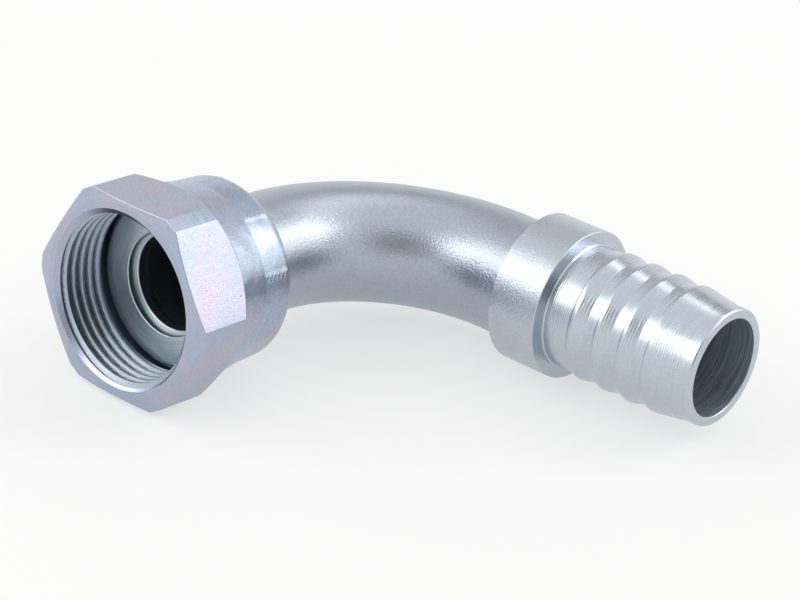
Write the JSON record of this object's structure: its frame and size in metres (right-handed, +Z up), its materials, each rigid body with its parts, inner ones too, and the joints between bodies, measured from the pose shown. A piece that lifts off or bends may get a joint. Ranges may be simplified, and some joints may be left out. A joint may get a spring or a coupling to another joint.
{
  "type": "hydraulic elbow fitting",
  "caption": "Hydraulic hose elbow at ninety degrees, with a flat-face swivel nut and a ribbed hose tail on a bent steel tube.",
  "frame": {"origin": "on the nut's axis where its full thread starts", "axes": "-Y out of the nut's mouth, +X along the hose tail to its open end, +Z up, square to the plane of the bend"},
  "size_m": [0.1147, 0.0929, 0.0414],
  "materials": {
    "nut_plating": "satin zinc plating with a faint lavender tint",
    "head_plating": "turned and zinc plated",
    "tube_plating": "smooth satin zinc plating",
    "tail_plating": "turned and bright zinc plated"
  },
  "bodies": {
    "insert": {"sealing_head": "head_plating", "elbow_tube": "tube_plating", "hose_tail": "tail_plating"},
    "nut": {"swivel_nut": "nut_plating"}
  },
  "joints": [
    {"name": "nut_swivel", "type": "hinge", "parent": "insert", "child": "nut", "pos_m": [0, 0.0117, 0], "axis": [0, 1, 0], "continuous": true}
  ]
}
